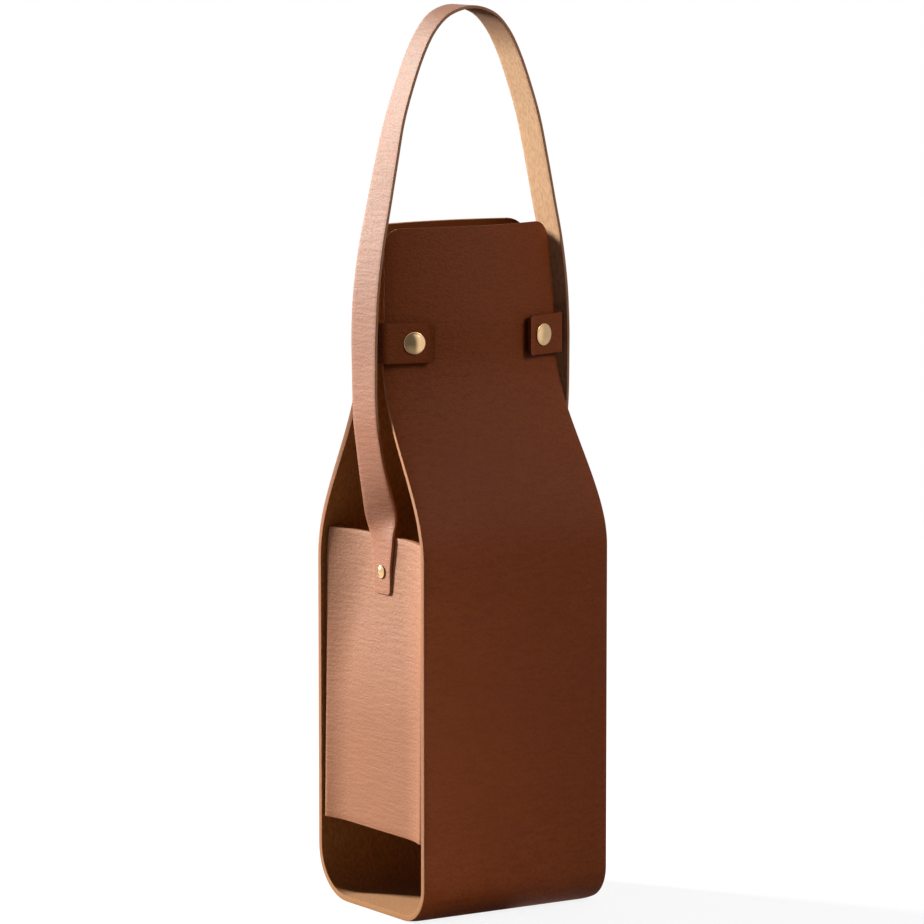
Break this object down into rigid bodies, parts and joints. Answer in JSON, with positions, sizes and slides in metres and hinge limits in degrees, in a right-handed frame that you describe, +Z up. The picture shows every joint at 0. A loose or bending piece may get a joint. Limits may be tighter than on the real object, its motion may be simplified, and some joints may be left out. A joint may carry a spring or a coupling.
{
  "type": "bottle carrier",
  "caption": "Tall folded-strip leather carrier for a wine bottle, with bonded side panels, a riveted strap handle and snap straps closing the neck.",
  "frame": {"origin": "middle of the underside of the base, where the carrier stands", "axes": "+Z up along the bottle, front panel with the snap tabs towards -Y, side panels and handle rivets at -X and +X"},
  "size_m": [0.1048, 0.09, 0.406],
  "materials": {
    "saddle_leather": "pebbled saddle-brown grain, satin",
    "side_leather": "pebbled saddle-brown grain, satin",
    "handle_leather": "pebbled grain outside, natural tan flesh side inside",
    "brass": "polished pale brass"
  },
  "bodies": {
    "carrier": {"body_strip": "saddle_leather", "left_gusset": "side_leather", "right_gusset": "side_leather", "left_handle_rivet": "brass", "right_handle_rivet": "brass", "left_rivet_washer": "brass", "right_rivet_washer": "brass", "left_neck_strap": "saddle_leather", "right_neck_strap": "saddle_leather", "left_snap_stud": "brass", "right_snap_stud": "brass", "left_snap_eyelet": "brass", "right_snap_eyelet": "brass", "left_back_rivet": "brass", "right_back_rivet": "brass", "left_back_washer": "brass", "right_back_washer": "brass"},
    "handle": {"handle_strap": "handle_leather"},
    "left_flap": {"left_tab": "saddle_leather", "left_snap_cap": "brass", "left_snap_socket": "brass"},
    "right_flap": {"right_tab": "saddle_leather", "right_snap_cap": "brass", "right_snap_socket": "brass"}
  },
  "joints": [
    {"name": "handle_swing", "type": "hinge", "parent": "carrier", "child": "handle", "pos_m": [0, 0, 0.154], "axis": [1, 0, 0], "range_deg": [-18, 18]},
    {"name": "left_tab_peel", "type": "hinge", "parent": "carrier", "child": "left_flap", "pos_m": [-0.04404, -0.01148, 0.2575], "axis": [0, 0, -1], "range_deg": [0, 90]},
    {"name": "right_tab_peel", "type": "hinge", "parent": "carrier", "child": "right_flap", "pos_m": [0.04404, -0.01148, 0.2575], "axis": [0, 0, 1], "range_deg": [0, 90]}
  ]
}
